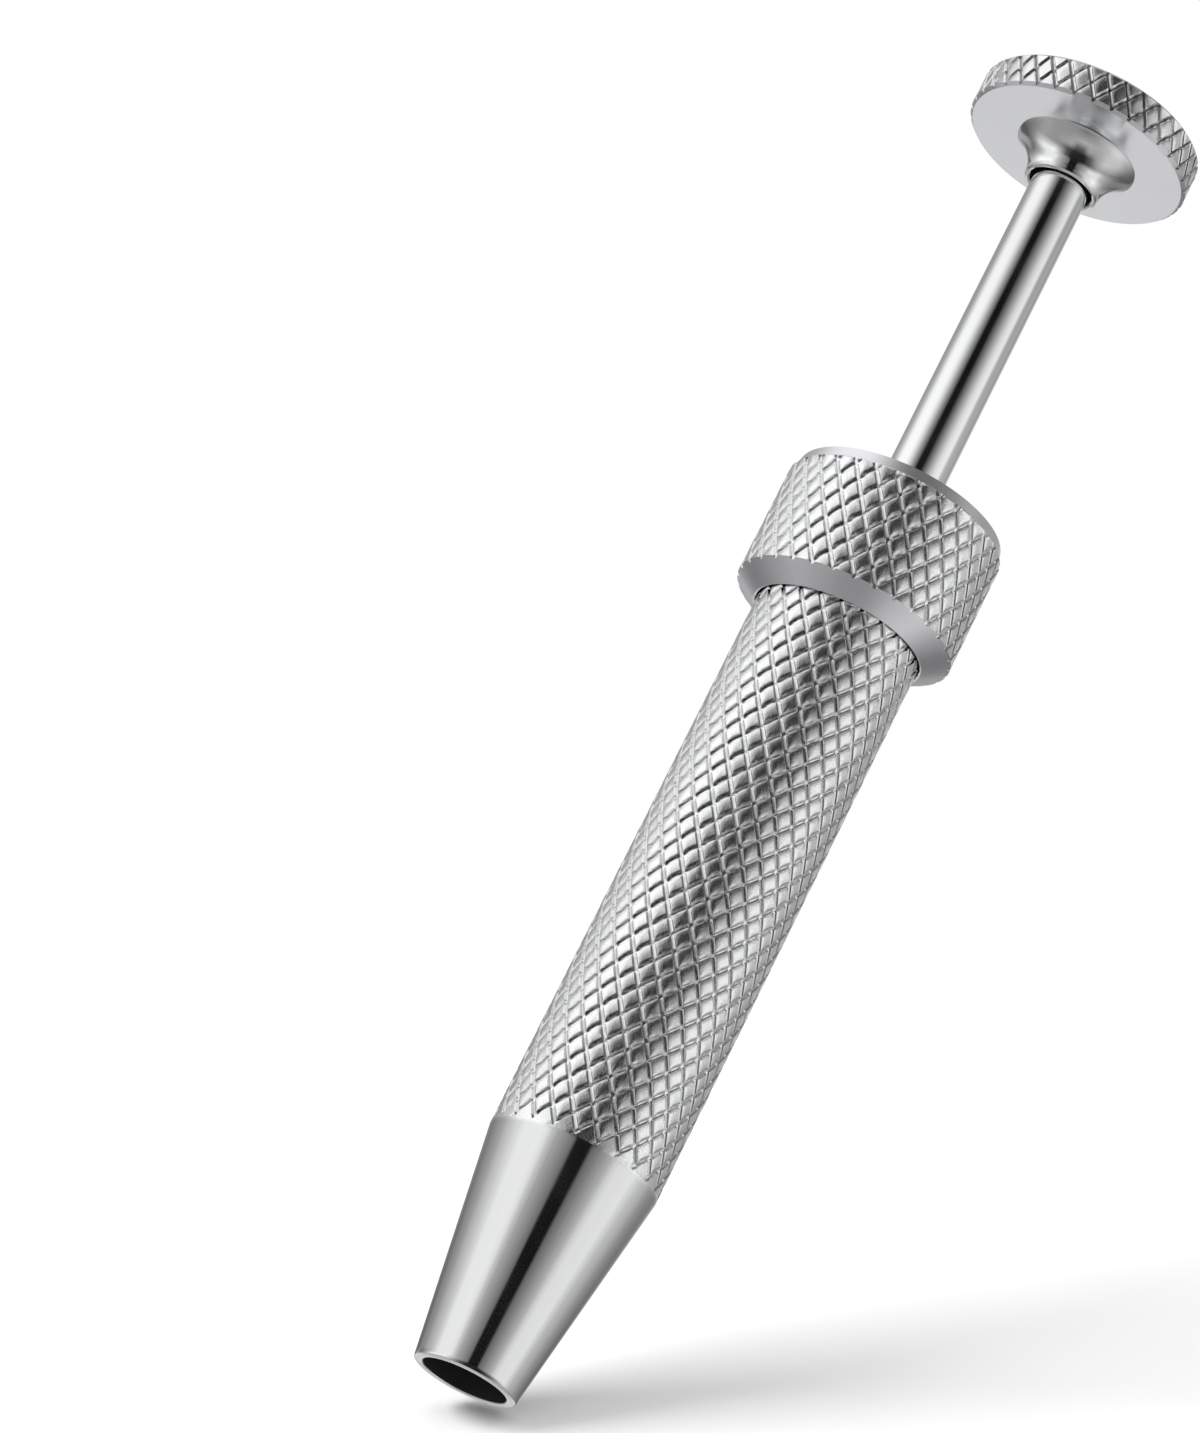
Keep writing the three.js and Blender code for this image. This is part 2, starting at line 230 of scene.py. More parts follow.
floorLook = {
    "normal": (-0.430, -0.5125, 0.743),
    "touches": (2.24, 2.67, -0.02),     # lowest point of the lip
    "size": 300,
    "colour": (0.93, 0.93, 0.935),
    "rough": 0.9,
    "grainScale": 60,
    "grainDetail": 2,
    "grainFrom": (0.3, 0.7),
    "grainTo": (0.97, 1.0),
    "solid": 35,                        # drawn in full this far from the tip, then fading
    "gone": 120,
    "leftEdge": (-14, -8),              # along the picture, from the tip: nothing, then all of it
    "lowEdge": (0.8, 2.0),              # down the picture: all of it, then nothing, to show pressed claws
    "lowSlant": 0.25,
}
keyLamp = {
    "aim": (8, 0, 40),
    "away": 620,
    "wide": 210,
    "deep": 460,
    "power": 3.0,
    "aside": -0.7,
    "above": 0.7,
    "towards": 0.06,
}


def fadeAlong(tree, place, tip, way, edges, levels):
    low, high = (edge * toMetres + tip.dot(way) for edge in edges)
    along = vectorMaths(tree, "DOT_PRODUCT", place, way).outputs["Value"]
    return ramp(tree, along, low, high, *levels, smooth=True)


def makeFloorMaterial(right, up):
    material = bpy.data.materials.new("paleFloor")
    material.use_nodes = True
    tree = material.node_tree
    shader = tree.nodes["Principled BSDF"]
    shader.inputs["Roughness"].default_value = floorLook["rough"]
    shader.inputs["Specular IOR Level"].default_value = 0
    place = objectPlace(tree)
    grain = addNoise(tree, floorLook["grainScale"], floorLook["grainDetail"])
    tree.links.new(place, grain.inputs["Vector"])
    tint = tree.nodes.new("ShaderNodeVectorMath")
    tint.operation = "SCALE"
    tint.inputs[0].default_value = floorLook["colour"]
    level = ramp(tree, grain.outputs[0], *floorLook["grainFrom"], *floorLook["grainTo"])
    tree.links.new(level, tint.inputs["Scale"])
    tree.links.new(tint.outputs[0], shader.inputs["Base Color"])
    tip = Vector(floorLook["touches"]) * toMetres
    away = vectorMaths(tree, "DISTANCE", place, tip).outputs["Value"]
    near, far = floorLook["solid"] * toMetres, floorLook["gone"] * toMetres
    slanted = -up - right * floorLook["lowSlant"]
    backs = tree.nodes.new("ShaderNodeNewGeometry").outputs["Backfacing"]
    shown = ramp(tree, away, near, far, 1, 0, smooth=True)
    for share in (fadeAlong(tree, place, tip, right, floorLook["leftEdge"], (0, 1)),
                  fadeAlong(tree, place, tip, slanted, floorLook["lowEdge"], (1, 0)),
                  maths(tree, "SUBTRACT", 1, backs)):
        shown = maths(tree, "MULTIPLY", shown, share)
    through = tree.nodes.new("ShaderNodeBsdfTransparent")
    sides = tree.nodes.new("ShaderNodeMixShader")
    tree.links.new(shown, sides.inputs[0])
    tree.links.new(through.outputs[0], sides.inputs[1])
    tree.links.new(shader.outputs[0], sides.inputs[2])
    tree.links.new(sides.outputs[0], tree.nodes["Material Output"].inputs["Surface"])
    return material


def makeFloor(right, up):
    bm = bmesh.new()
    bmesh.ops.create_grid(bm, x_segments=1, y_segments=1, size=floorLook["size"] / 2)
    normal = Vector(floorLook["normal"]).normalized()
    turned = normal.to_track_quat("Z", "Y").to_matrix().to_4x4()
    place = Matrix.Translation(floorLook["touches"]) @ turned
    bmesh.ops.transform(bm, matrix=Matrix.Scale(toMetres, 4) @ place, verts=bm.verts)
    mesh = bpy.data.meshes.new("floor")
    bm.to_mesh(mesh)
    bm.free()
    mesh.materials.append(makeFloorMaterial(right, up))
    floor = bpy.data.objects.new("floor", mesh)
    bpy.context.scene.collection.objects.link(floor)
    floor.visible_glossy = False


# The lamp is long from front to back, so that the shadow on the floor opens like a fan.
def makeLamp(right, up, back):
    light = bpy.data.lights.new("keyLamp", "AREA")
    light.shape = "RECTANGLE"
    light.size = keyLamp["wide"] * toMetres
    light.size_y = keyLamp["deep"] * toMetres
    light.energy = keyLamp["power"]
    lamp = bpy.data.objects.new("keyLamp", light)
    way = (right * keyLamp["aside"] + up * keyLamp["above"] + back * keyLamp["towards"]).normalized()
    deep = (back - way * back.dot(way)).normalized()
    place = Vector(keyLamp["aim"]) + way * keyLamp["away"]
    turned = Matrix((deep.cross(way), deep, way)).transposed().to_4x4()
    lamp.matrix_world = Matrix.Translation(place * toMetres) @ turned
    lamp.visible_glossy = False
    bpy.context.scene.collection.objects.link(lamp)


# Sizes of marks are in metres. Patches make the roughness uneven.
turning = {"pitch": 0.00006, "detail": 3, "patchScale": 350, "patchDetail": 4}
rolling = {"grain": 0.0002, "detail": 4, "roughness": 0.55, "distortion": 1.2, "patchScale": 420,
           "patchDetail": 3}


def startGroup(name, sizeName, size, outputNames):
    group = bpy.data.node_groups.new(name, "ShaderNodeTree")
    given = group.interface.new_socket(sizeName, in_out="INPUT", socket_type="NodeSocketFloat")
    given.default_value = size
    for outputName in outputNames:
        group.interface.new_socket(outputName, in_out="OUTPUT", socket_type="NodeSocketFloat")
    return group, group.nodes.new("NodeGroupInput"), group.nodes.new("NodeGroupOutput")


def addPatches(group, place, look, result):
    patches = addNoise(group, look["patchScale"], look["patchDetail"])
    group.links.new(place, patches.inputs["Vector"])
    group.links.new(patches.outputs[0], result.inputs["Patches"])


# Rings round the axis, one after another up a shaft and outwards on a face.
def makeTurnedMarks():
    group, given, result = startGroup("turnedMarks", "Pitch", turning["pitch"], ("Marks", "Patches"))
    place = objectPlace(group)
    flat = vectorMaths(group, "MULTIPLY", place, (1, 1, 0)).outputs[0]
    fromAxis = vectorMaths(group, "LENGTH", flat).outputs["Value"]
    split = group.nodes.new("ShaderNodeSeparateXYZ")
    group.links.new(place, split.inputs[0])
    along = maths(group, "ADD", fromAxis, split.outputs["Z"])
    marks = addNoise(group, 1, turning["detail"])
    marks.noise_dimensions = "1D"
    group.links.new(maths(group, "DIVIDE", along, given.outputs["Pitch"]), marks.inputs["W"])
    group.links.new(marks.outputs[0], result.inputs["Marks"])
    addPatches(group, place, turning, result)
    return group


def makeRolledSkin():
    group, given, result = startGroup("rolledSkin", "Grain Size", rolling["grain"], ("Grain", "Patches"))
    place = objectPlace(group)
    scaled = vectorMaths(group, "SCALE", place)
    group.links.new(maths(group, "DIVIDE", 1, given.outputs["Grain Size"]), scaled.inputs["Scale"])
    grain = addNoise(group, 1, rolling["detail"])
    grain.inputs["Roughness"].default_value = rolling["roughness"]
    grain.inputs["Distortion"].default_value = rolling["distortion"]
    group.links.new(scaled.outputs[0], grain.inputs["Vector"])
    group.links.new(grain.outputs[0], result.inputs["Grain"])
    addPatches(group, place, rolling, result)
    return group


# Marks are the pitch of turned rings or the size of rolled grain; marks and depth are in millimetres.
patchLevels = (0.35, 0.65)      # from the first roughness to the second
finishes = {
    "polishedChrome": {"colour": (0.93, 0.935, 0.94), "rough": (0.05, 0.1), "marks": 0.05, "depth": 0.00003},
    "satinFace": {"colour": (0.895, 0.9, 0.925), "rough": (0.3, 0.34), "marks": 0.03, "depth": 0.0002,
                  "metallic": 0.95, "anisotropic": 0.8},
    "turnedFace": {"colour": (0.905, 0.91, 0.93), "rough": (0.15, 0.17), "marks": 0.03, "depth": 0.00005,
                   "metallic": 0.96, "anisotropic": 0.9},
    "knurledSteel": {"colour": (0.95, 0.955, 0.96), "rough": (0.05, 0.11), "marks": 0.1, "depth": 0.015},
    # The groove finish is painted shade: a dark grey that stands in for the shade in the button's knurl
    # grooves.
    "paintedGrooveShade": {"colour": (0.3, 0.302, 0.306), "rough": (0.12, 0.2), "marks": 0.1, "depth": 0.015},
    # The bore finish is painted shade: near black, standing in for the shade inside the bores and the mouth.
    "paintedShadeBore": {"colour": (0.02, 0.02, 0.021), "rough": (0.5, 0.65), "marks": 0.15, "depth": 0.001,
                 "metallic": 0.2},
    "drawnWire": {"colour": (0.74, 0.75, 0.77), "rough": (0.16, 0.26), "marks": 0.08, "depth": 0.0002},
    "turnedBrass": {"colour": (0.78, 0.62, 0.34), "rough": (0.22, 0.34), "marks": 0.06, "depth": 0.0005},
}


# A turned face has rings of fine grooves, and they draw what it mirrors out away from the axis.
def outwardsFromAxis(tree):
    outwards = vectorMaths(tree, "MULTIPLY", objectPlace(tree), (1, 1, 0)).outputs[0]
    return vectorMaths(tree, "NORMALIZE", outwards).outputs[0]


def makeFinish(name, group):
    look = finishes[name]
    material = bpy.data.materials.new(name)
    material.use_nodes = True
    tree = material.node_tree
    shader = tree.nodes["Principled BSDF"]
    shader.inputs["Base Color"].default_value = (*look["colour"], 1)
    shader.inputs["Metallic"].default_value = look.get("metallic", 1)
    skin = tree.nodes.new("ShaderNodeGroup")
    skin.node_tree = group
    skin.inputs[0].default_value = look["marks"] * toMetres
    rough = ramp(tree, skin.outputs["Patches"], *patchLevels, *look["rough"])
    tree.links.new(rough, shader.inputs["Roughness"])
    bump = tree.nodes.new("ShaderNodeBump")
    bump.inputs["Distance"].default_value = look["depth"] * toMetres
    tree.links.new(skin.outputs[0], bump.inputs["Height"])
    tree.links.new(bump.outputs[0], shader.inputs["Normal"])
    if "anisotropic" in look:
        shader.inputs["Anisotropic"].default_value = look["anisotropic"]
        tree.links.new(outwardsFromAxis(tree), shader.inputs["Tangent"])
    return material


def ofKind(items, kind):
    return [item for item in items if isinstance(item, kind)]


def setRing(verts, radius, height):
    for vert in verts:
        flat = Vector((vert.co.x, vert.co.y, 0))
        flat.length = radius
        vert.co = (flat.x, flat.y, height)


# Grows a ring of edges through the (radius, height, slot) stops of a turned profile.
# A stop's slot belongs to the faces that end at it.
def turnOn(bm, ring, stops):
    for radius, height, slot in stops:
        grown = bmesh.ops.extrude_edge_only(bm, edges=ring)["geom"]
        setRing(ofKind(grown, bmesh.types.BMVert), radius, height)
        for face in ofKind(grown, bmesh.types.BMFace):
            face.material_index = slot
            face.smooth = True
        ring = [edge for edge in ofKind(grown, bmesh.types.BMEdge) if edge.is_boundary]
    return ring


def startRing(bm, segments, radius, height):
    made = bmesh.ops.create_circle(bm, segments=segments, radius=radius)
    bmesh.ops.translate(bm, vec=(0, 0, height), verts=made["verts"])
    return list(dict.fromkeys(edge for vert in made["verts"] for edge in vert.link_edges))


# Extrudes a wire's end ring on the spot, for the caller to move.
def extrudeRing(bm, ring):
    grown = bmesh.ops.extrude_edge_only(bm, edges=ring)["geom"]
    verts = ofKind(grown, bmesh.types.BMVert)
    edges = ofKind(grown, bmesh.types.BMEdge)
    return [edge for edge in edges if edge.verts[0] in verts and edge.verts[1] in verts], verts


def lowerAndUpperRims(bm):
    rims = [edge for edge in bm.edges if edge.is_boundary]
    middle = sum(edge.verts[0].co.z for edge in rims) / len(rims)
    lower = [edge for edge in rims if edge.verts[0].co.z < middle]
    return lower, [edge for edge in rims if edge.verts[0].co.z >= middle]


def closeRing(bm, ring, slot):
    for face in bmesh.ops.edgeloop_fill(bm, edges=ring)["faces"]:
        face.material_index = slot


# The piece rides on the body. With a span of heights, it is baked in place instead and rides on no body.
def finishPiece(name, bm, body, node, materials, span=None):
    bmesh.ops.remove_doubles(bm, verts=bm.verts, dist=mergeDistance)
    bmesh.ops.recalc_face_normals(bm, faces=bm.faces)
    for face in bm.faces:
        face.smooth = True
    limit = math.radians(sharpAngle)
    for edge in bm.edges:
        edge.smooth = edge.calc_face_angle(0) < limit
    openEdges = sum(edge.is_boundary for edge in bm.edges)
    bmesh.ops.scale(bm, vec=(toMetres,) * 3, verts=bm.verts)
    mesh = bpy.data.meshes.new(name)
    bm.to_mesh(mesh)
    bm.free()
    for material in materials:
        mesh.materials.append(material)
    piece = bpy.data.objects.new(name, mesh)
    bpy.context.scene.collection.objects.link(piece)
    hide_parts(node)
    if span:
        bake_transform(piece)
    else:
        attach(piece, body)
    print(f"{name}: {len(mesh.polygons)} faces, {openEdges} open edges")


# A strip one groove's pitch wide is cut from a grid that lies along the grooves, wrapped on the cylinder
# and spun round it. A set of grooves has a profile of (place, height): pitches from the groove's middle,
# and 0 for its floor to 1 for the pad. The wall below a pad is widest in its middle, which bows it.
knurl = {
    "depth": 0.17,
    "rising": [(-0.28, 1), (-0.22, 0.8), (-0.13, 0.4), (-0.045, 0), (0.02, 0), (0.085, 0.2), (0.13, 0.9),
               (0.17, 1)],
    "risingPad": [0.45],
    "falling": [(-0.12, 1), (-0.08, 0.85), (-0.04, 0), (0.05, 0.1), (0.13, 0.42), (0.17, 0.9), (0.22, 1)],
    "fallingPad": [0.44, 0.66],
    "bow": (0.4, 0.6),
    "bowStart": 0.18,               # in pitches, where the bowed wall begins and how far it goes
    "bowLength": 0.74,
    "footPad": 0.87,                # at the grip's foot, what stands higher is made a full pad
    "floorShare": 0.8,              # of the depth, below which a face is the groove's floor
    "pastFloor": 0.01,
    "wobble": 0.012,
    "wobbleScale": 1.6,
    "mottle": 0.012,
    "mottleScales": (0.9, 2.7),     # coarse and fine
    "fineShare": 0.5,
}
touching = 1e-3     # how near a height counts as the band's edge


def standing(profile, place):
    if place <= profile[0][0] or place >= profile[-1][0]:
        return 1
    for (start, low), (end, high) in zip(profile, profile[1:]):
        if place <= end:
            return low + (high - low) * (place - start) / (end - start)


def gridLines(profile, pad):
    return sorted([place % 1 for place, height in profile] + pad)


def knurlBand(bm, band):
    radius, starts, half = band["radius"], band["starts"], band["halfRow"]
    rows = (band["top"] - band["bottom"]) / half
    rising = gridLines(knurl["rising"], knurl["risingPad"])
    falling = gridLines(knurl["falling"], knurl["fallingPad"])
    cells = math.ceil(rows / 2) + 2
    bmesh.ops.create_grid(bm, x_segments=cells * len(rising), y_segments=cells * len(falling), size=0.5)
    for vert in bm.verts:
        stepLeft = round((vert.co.x + 0.5) * cells * len(rising))
        stepRight = round((vert.co.y + 0.5) * cells * len(falling))
        left = stepLeft // len(rising) + rising[stepLeft % len(rising)] + 2 - cells
        right = stepRight // len(falling) + falling[stepRight % len(falling)] - 1
        vert.co = ((left + right) / 2, (right - left) / 2, 0)
    foot = band.get("foot", 0)
    for place, outwards in [((0, 0, 0), (-1, 0, 0)), ((1, 0, 0), (1, 0, 0)),
                            ((0, -foot, 0), (0, -1, 0)), ((0, rows / 2, 0), (0, 1, 0))]:
        bmesh.ops.bisect_plane(bm, geom=bm.verts[:] + bm.edges[:] + bm.faces[:], dist=1e-5,
                               plane_co=place, plane_no=outwards, clear_outer=True)
    bowLeast, bowMore = knurl["bow"]
    for vert in bm.verts:
        around, up = vert.co.x, vert.co.y
        left, right = around - up, around + up
        offLeft, offRight = left - round(left), right - round(right)
        if foot:
            offLeft = math.copysign(max(abs(offLeft), round(left) - right), offLeft)
            offRight = math.copysign(max(abs(offRight), left - round(right)), offRight)
        share = min(1, max(0, (right % 1 - knurl["bowStart"]) / knurl["bowLength"]))
        bow = band.get("wedge", 1) * (bowLeast + bowMore * math.sin(math.pi * share))
        if offLeft < 0:
            offLeft = offLeft / bow
        lift = standing(knurl["rising"], offLeft) * standing(knurl["falling"], offRight)
        if foot and math.floor(right) <= math.floor(left) and lift > knurl["footPad"]:
            lift = 1
        reach = radius - knurl["depth"] * (1 - lift)
        height = 2 * half * up
        angle = fullTurn * (around + band["phase"]) / starts + math.radians(band["lean"]) * height
        height += band["bottom"]
        if abs(height - band["top"]) < touching:
            height += (radius - reach) * band.get("upperSlope", 0)
        if not foot and abs(height - band["bottom"]) < touching:
            height -= (radius - reach) * band.get("lowerSlope", 0)
        vert.co = (reach * math.cos(angle), reach * math.sin(angle), height)
    # Faces below the floor share take the band's own groove slot, where it has one; on the button that slot
    # is painted shade in the groove floors.
    floorReach = radius - knurl["depth"] * knurl["floorShare"]
    for face in bm.faces:
        deep = face.calc_center_median().xy.length < floorReach
        face.material_index = band.get("grooves", knurlSlot) if deep else knurlSlot
    bmesh.ops.spin(bm, geom=bm.verts[:] + bm.edges[:] + bm.faces[:], cent=(0, 0, 0), axis=(0, 0, 1),
                   angle=fullTurn * (starts - 1) / starts, steps=starts - 1, use_duplicate=True)
    bmesh.ops.remove_doubles(bm, verts=bm.verts, dist=mergeDistance)
    coarse, fine = knurl["mottleScales"]
    for vert in bm.verts:
        if any(edge.is_boundary for edge in vert.link_edges):
            continue
        out = Vector((vert.co.x, vert.co.y, 0)).normalized()
        place = vert.co.copy()
        vert.co += noise.noise_vector(place * knurl["wobbleScale"]) * knurl["wobble"]
        mottle = noise.noise(place * coarse) + knurl["fineShare"] * noise.noise(place * fine)
        vert.co += out * knurl["mottle"] * (mottle - 1)
    print(f"  {starts} starts, {rows:.1f} half rows of {half:.3f} mm")


# Radii, and heights up from the lip.
barrel = {
    "grip": {"radius": 5.75, "starts": 24, "halfRow": 1.01, "bottom": 15.75, "top": 56.45, "foot": 0.16,
             "phase": 0.5, "lean": 0.94},
    "coneTop": 15.4,
    "coneRings": (15.15, 8, 0.35),
    "noseTip": 3.48,
    "chamfer": 0.15,
    "lipRound": 0.3,                # of the chamfer
    "mouth": 2.85,
    "mouthChamfer": 0.05,
    "springBore": 3.8,
    "stopBore": 4.3,
    "neck": 5.2,
    "seatHeight": 17.3,
    "stopHeight": 48.7,
    "neckTop": 62.25,
}


def makeBarrel():
    bm = bmesh.new()
    knurlBand(bm, barrel["grip"])
    lowerRim, upperRim = lowerAndUpperRims(bm)
    tip, chamfer, mouth = barrel["noseTip"], barrel["chamfer"], barrel["mouth"]
    lipRound, mouthChamfer = barrel["lipRound"] * chamfer, barrel["mouthChamfer"]
    coneTop, wide = barrel["coneTop"], barrel["grip"]["radius"]
    slope = (wide - tip) / (coneTop - chamfer)
    cone = [(tip + slope * (height - chamfer), height, chromeSlot) for height in barrel["coneRings"]]
    inside = turnOn(bm, lowerRim, [(wide, coneTop, chromeSlot)] + cone + [
        (tip, chamfer, chromeSlot),
        (tip - lipRound, lipRound, chromeSlot),
        (tip - chamfer, 0, chromeSlot),
        (mouth + mouthChamfer, 0, satinSlot),
        (mouth, mouthChamfer, satinSlot),
        (mouth, barrel["seatHeight"], boreShadeSlot),
        (barrel["springBore"], barrel["seatHeight"], boreShadeSlot),
        (barrel["springBore"], barrel["stopHeight"], boreShadeSlot),
        (barrel["stopBore"], barrel["stopHeight"], boreShadeSlot),
        (barrel["stopBore"], barrel["neckTop"], boreShadeSlot),
        (barrel["neck"], barrel["neckTop"], chromeSlot),
        (barrel["neck"], barrel["grip"]["top"], chromeSlot),
    ])
    for face in bmesh.ops.bridge_loops(bm, edges=inside + upperRim)["faces"]:
        face.material_index = chromeSlot
    finishPiece("fineBarrel", bm, "grip", "barrel", metals)


collar = {
    "band": {"radius": 7.6, "starts": 32, "halfRow": 1.077, "bottom": 56.15, "top": 64.0, "phase": 0.5,
             "lean": 0.39, "lowerSlope": 0.679, "upperSlope": 1},
    "bottom": 55.05,
    "top": 64.9,
    "lowerFlat": 5.98,
    "upperFlat": 7.25,
    "recess": 5.84,
    "recessChamfer": 0.06,
    "recessTop": 56.5,
    "thread": 5.25,
    "capUnder": 62.3,
    "hole": 2.08,
    "holeChamfer": 0.12,
}


# Carries on a bevel from a knurl's end, whose corners lie on it already, to the flat.
def bevelOn(bm, band, rim, edgeHeight, climb, flatRadius, flatHeight):
    cut = knurl["depth"] + knurl["pastFloor"]
    inner = (band["radius"] - cut, edgeHeight + climb * cut, satinSlot)
    return turnOn(bm, rim, [inner, (flatRadius, flatHeight, satinSlot)])


def makeCollar():
    bm = bmesh.new()
    band = collar["band"]
    knurlBand(bm, band)
    lowerRim, upperRim = lowerAndUpperRims(bm)
    holeChamfer, recessChamfer = collar["holeChamfer"], collar["recessChamfer"]
    above = bevelOn(bm, band, upperRim, band["top"], band["upperSlope"], collar["upperFlat"], collar["top"])
    above = turnOn(bm, above, [
        (collar["hole"] + holeChamfer, collar["top"], satinSlot),
        (collar["hole"], collar["top"] - holeChamfer, chromeSlot),
    ])
    below = bevelOn(bm, band, lowerRim, band["bottom"], -band["lowerSlope"],
                    collar["lowerFlat"], collar["bottom"])
    below = turnOn(bm, below, [
        (collar["recess"] + recessChamfer, collar["bottom"], satinSlot),
        (collar["recess"], collar["bottom"] + recessChamfer, chromeSlot),
        (collar["recess"], collar["recessTop"], boreShadeSlot),
        (collar["thread"], collar["recessTop"], boreShadeSlot),
        (collar["thread"], collar["capUnder"], boreShadeSlot),
        (collar["hole"], collar["capUnder"], boreShadeSlot),
    ])
    for face in bmesh.ops.bridge_loops(bm, edges=below + above)["faces"]:
        face.material_index = boreShadeSlot
    finishPiece("fineCollar", bm, "grip", "collar", metals)


pushRod = {"radius": 2.0, "chamfer": 0.08, "bottom": 17.0, "top": 92.05, "lowerStud": 1.2,
           "lowerLength": 2.6, "upperStud": 1.5, "upperLength": 3.2, "segments": 128}


def makePushRod():
    bm = bmesh.new()
    radius, bottom, top = pushRod["radius"], pushRod["bottom"], pushRod["top"]
    low, high, chamfer = bottom - pushRod["lowerLength"], top + pushRod["upperLength"], pushRod["chamfer"]
    ring = startRing(bm, pushRod["segments"], pushRod["lowerStud"], low)
    closeRing(bm, ring, chromeSlot)
    ring = turnOn(bm, ring, [
        (pushRod["lowerStud"], bottom, chromeSlot),
        (radius - chamfer, bottom, chromeSlot),
        (radius, bottom + chamfer, chromeSlot),
        (radius, top - chamfer, chromeSlot),
        (radius - chamfer, top, chromeSlot),
        (pushRod["upperStud"], top, chromeSlot),
        (pushRod["upperStud"], high, chromeSlot),
    ])
    closeRing(bm, ring, chromeSlot)
    finishPiece("finePushRod", bm, "plunger", "push_rod", metals)


button = {
    "band": {"radius": 7.85, "starts": 36, "halfRow": 1.1, "bottom": 94.28, "top": 96.42, "phase": 0.5,
             "lean": 0.3, "lowerSlope": 1, "upperSlope": 1, "wedge": 0.5, "grooves": grooveShadeSlot},
    "edge": 7.62,
    "under": 94.05,
    "top": 96.649,
    "hubMouth": 91.3,
    "hubOuter": 2.62,
    "gap": 2.22,
    "flare": 1.63,
    "flareTurn": 50,
    "flareSteps": 14,
    "lip": 0.07,
    "lipRound": 0.015,
    "mouthSteps": 6,
    "topRing": 3.0,
    "counterbore": 92.1,
    "hole": 1.55,
    "holeTop": 95.5,
}


def makeButton():
    bm = bmesh.new()
    band = button["band"]
    knurlBand(bm, band)
    lowerRim, upperRim = lowerAndUpperRims(bm)
    rise = button["under"] - button["hubMouth"] - button["lip"]
    edgeTurn = math.radians(button["flareTurn"])
    rim = button["hubOuter"] + button["flare"]
    lip, lipRound = button["lip"], button["lipRound"]
    flare = [
        (rim, button["under"], turnedSlot),
        (rim, button["under"] - lip + lipRound, chromeSlot),
        (rim - lipRound, button["under"] - lip, chromeSlot),
    ]
    for step in range(button["flareSteps"] - 1, 0, -1):
        angle = edgeTurn * step / button["flareSteps"]
        outwards = (1 - math.cos(angle)) / (1 - math.cos(edgeTurn))
        upwards = math.sin(angle) / math.sin(edgeTurn)
        reach = button["hubOuter"] + button["flare"] * outwards
        flare.append((reach, button["hubMouth"] + rise * upwards, chromeSlot))
    wall = (button["hubOuter"] - button["gap"]) / 2
    mouthRound = []
    for step in range(button["mouthSteps"] + 1):
        angle = math.radians(180 * step / button["mouthSteps"])
        reach = button["gap"] + wall * (1 + math.cos(angle))
        mouthRound.append((reach, button["hubMouth"] + wall * (1 - math.sin(angle)), chromeSlot))
    below = turnOn(bm, lowerRim, [(button["edge"], button["under"], satinSlot)])
    ring = turnOn(bm, below, flare + mouthRound + [
        (button["gap"], button["counterbore"], boreShadeSlot),
        (button["hole"], button["counterbore"], boreShadeSlot),
        (button["hole"], button["holeTop"], boreShadeSlot),
    ])
    closeRing(bm, ring, boreShadeSlot)
    ring = turnOn(bm, upperRim, [
        (button["edge"], button["top"], chromeSlot),
        (button["topRing"], button["top"], satinSlot),
    ])
    closeRing(bm, ring, satinSlot)
    finishPiece("fineButton", bm, "plunger", "thumb_button", metals)


# The return spring. Its upper end goes down with the plunger in the real tool; this mesh stays at rest.
spring = {"coil": 3.1, "wire": 0.35, "turns": 18, "bottom": 18.1, "top": 59.7, "sides": 12,
          "stepsPerTurn": 24}


def makeSpring():
    bm = bmesh.new()
    bottom, top, wireRadius, turns = spring["bottom"], spring["top"], spring["wire"], spring["turns"]
    ring = startRing(bm, spring["sides"], wireRadius, 0)
    rise = top - bottom - 2 * wireRadius
    slope = math.atan2(rise, turns * fullTurn * spring["coil"])
    tilted = Matrix.Rotation(math.pi / 2 + slope, 4, "X")
    placed = Matrix.Translation((spring["coil"], 0, bottom + wireRadius))
    bmesh.ops.transform(bm, matrix=placed @ tilted, verts=bm.verts)
    closeRing(bm, ring, chromeSlot)
    steps = turns * spring["stepsPerTurn"]
    wound = bmesh.ops.spin(bm, geom=ring, cent=(0, 0, 0), axis=(0, 0, 1), dvec=(0, 0, rise / steps),
                           angle=fullTurn * turns, steps=steps, use_duplicate=False)
    closeRing(bm, ofKind(wound["geom_last"], bmesh.types.BMEdge), chromeSlot)
    finishPiece("fineSpring", bm, "grip", "return_spring", [steel], span=(bottom, top))


claw = {
    "count": 4,
    "wire": 0.3,
    "sides": 20,
    "pivotRadius": 0.95,
    "pivotHeight": 12.0,
    "root": 1.2,
    "leg": 9.57,
    "splay": 4,
    "bend": 0.7,
    "hookTurn": 98,
    "hook": 0.35,
    "bendSteps": 14,
    "tipRound": [(0.07, 0.88), (0.04, 0.7), (0.01, 0.4)],   # how far on, and the share of the wire left
}


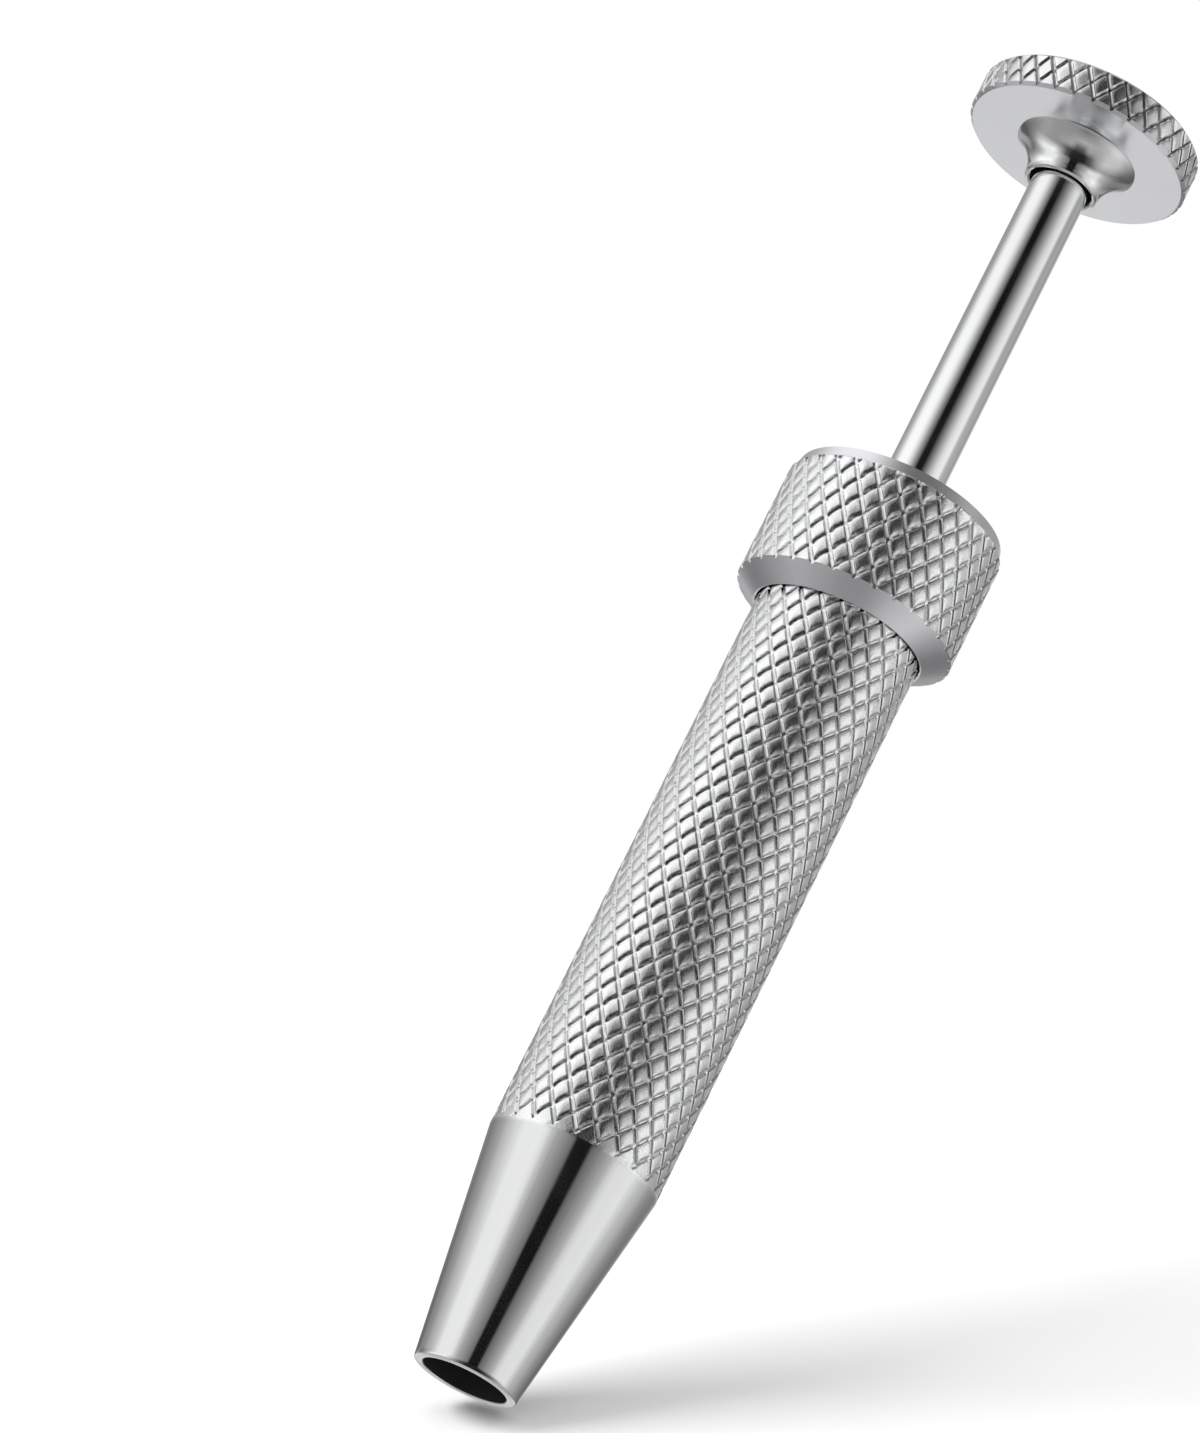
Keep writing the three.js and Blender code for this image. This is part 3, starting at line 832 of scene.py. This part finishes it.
# A bent wire in its own X-Z plane: root, straight leg, a bend spun about the bend's centre, and a tip.
def makeClaw(index):
    bm = bmesh.new()
    wireRadius, bend = claw["wire"], claw["bend"]
    ring = startRing(bm, claw["sides"], wireRadius, claw["root"])
    closeRing(bm, ring, chromeSlot)
    ring, verts = extrudeRing(bm, ring)
    bmesh.ops.translate(bm, vec=(0, 0, bend - claw["leg"] - claw["root"]), verts=verts)
    turn = math.radians(claw["hookTurn"])
    bent = bmesh.ops.spin(bm, geom=ring, cent=(-bend, 0, bend - claw["leg"]), axis=(0, 1, 0),
                          angle=turn, steps=claw["bendSteps"], use_duplicate=False)
    ring = ofKind(bent["geom_last"], bmesh.types.BMEdge)
    way = Vector((-math.sin(turn), 0, -math.cos(turn)))
    straight = claw["hook"] - sum(ahead for ahead, share in claw["tipRound"])
    for ahead, share in [(straight, 1)] + claw["tipRound"]:
        ring, verts = extrudeRing(bm, ring)
        bmesh.ops.translate(bm, vec=way * ahead, verts=verts)
        centre = sum((vert.co for vert in verts), Vector()) / len(verts)
        reach = max((vert.co - centre).length for vert in verts)
        for vert in verts:
            vert.co = centre + (vert.co - centre) * (wireRadius * share / reach)
    closeRing(bm, ring, chromeSlot)
    spun = Matrix.Rotation(fullTurn * index / claw["count"], 4, "Z")
    placed = Matrix.Translation((claw["pivotRadius"], 0, claw["pivotHeight"]))
    splayed = Matrix.Rotation(-math.radians(claw["splay"]), 4, "Y")
    bmesh.ops.transform(bm, matrix=spun @ placed @ splayed, verts=bm.verts)
    own = f"claw_{index + 1}"
    finishPiece(f"fineClaw{index + 1}", bm, own, own, [steel])


bpy.context.scene.view_settings.view_transform = "Standard"
right, up, back = makeCamera()
makeStudio()
makeFloor(right, up)
makeLamp(right, up, back)
print("studio ready")
turnedMarks = makeTurnedMarks()
rolledSkin = makeRolledSkin()
metals = [      # in the order of the slots
    makeFinish("polishedChrome", turnedMarks),
    makeFinish("satinFace", turnedMarks),
    makeFinish("turnedFace", turnedMarks),
    makeFinish("knurledSteel", rolledSkin),
    makeFinish("paintedShadeBore", turnedMarks),
    makeFinish("paintedGrooveShade", rolledSkin),
]
steel = makeFinish("drawnWire", turnedMarks)
brass = makeFinish("turnedBrass", turnedMarks)
for node, material in (("claw_ferrule", steel), ("spring_seat", brass), ("stop_ring", brass),
                       ("claw_carrier", brass)):
    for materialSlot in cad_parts[node].material_slots:
        materialSlot.material = material
print("finishes ready")
makeBarrel()
makeCollar()
makePushRod()
makeButton()
makeSpring()
for index in range(claw["count"]):
    makeClaw(index)
print("pieces ready")
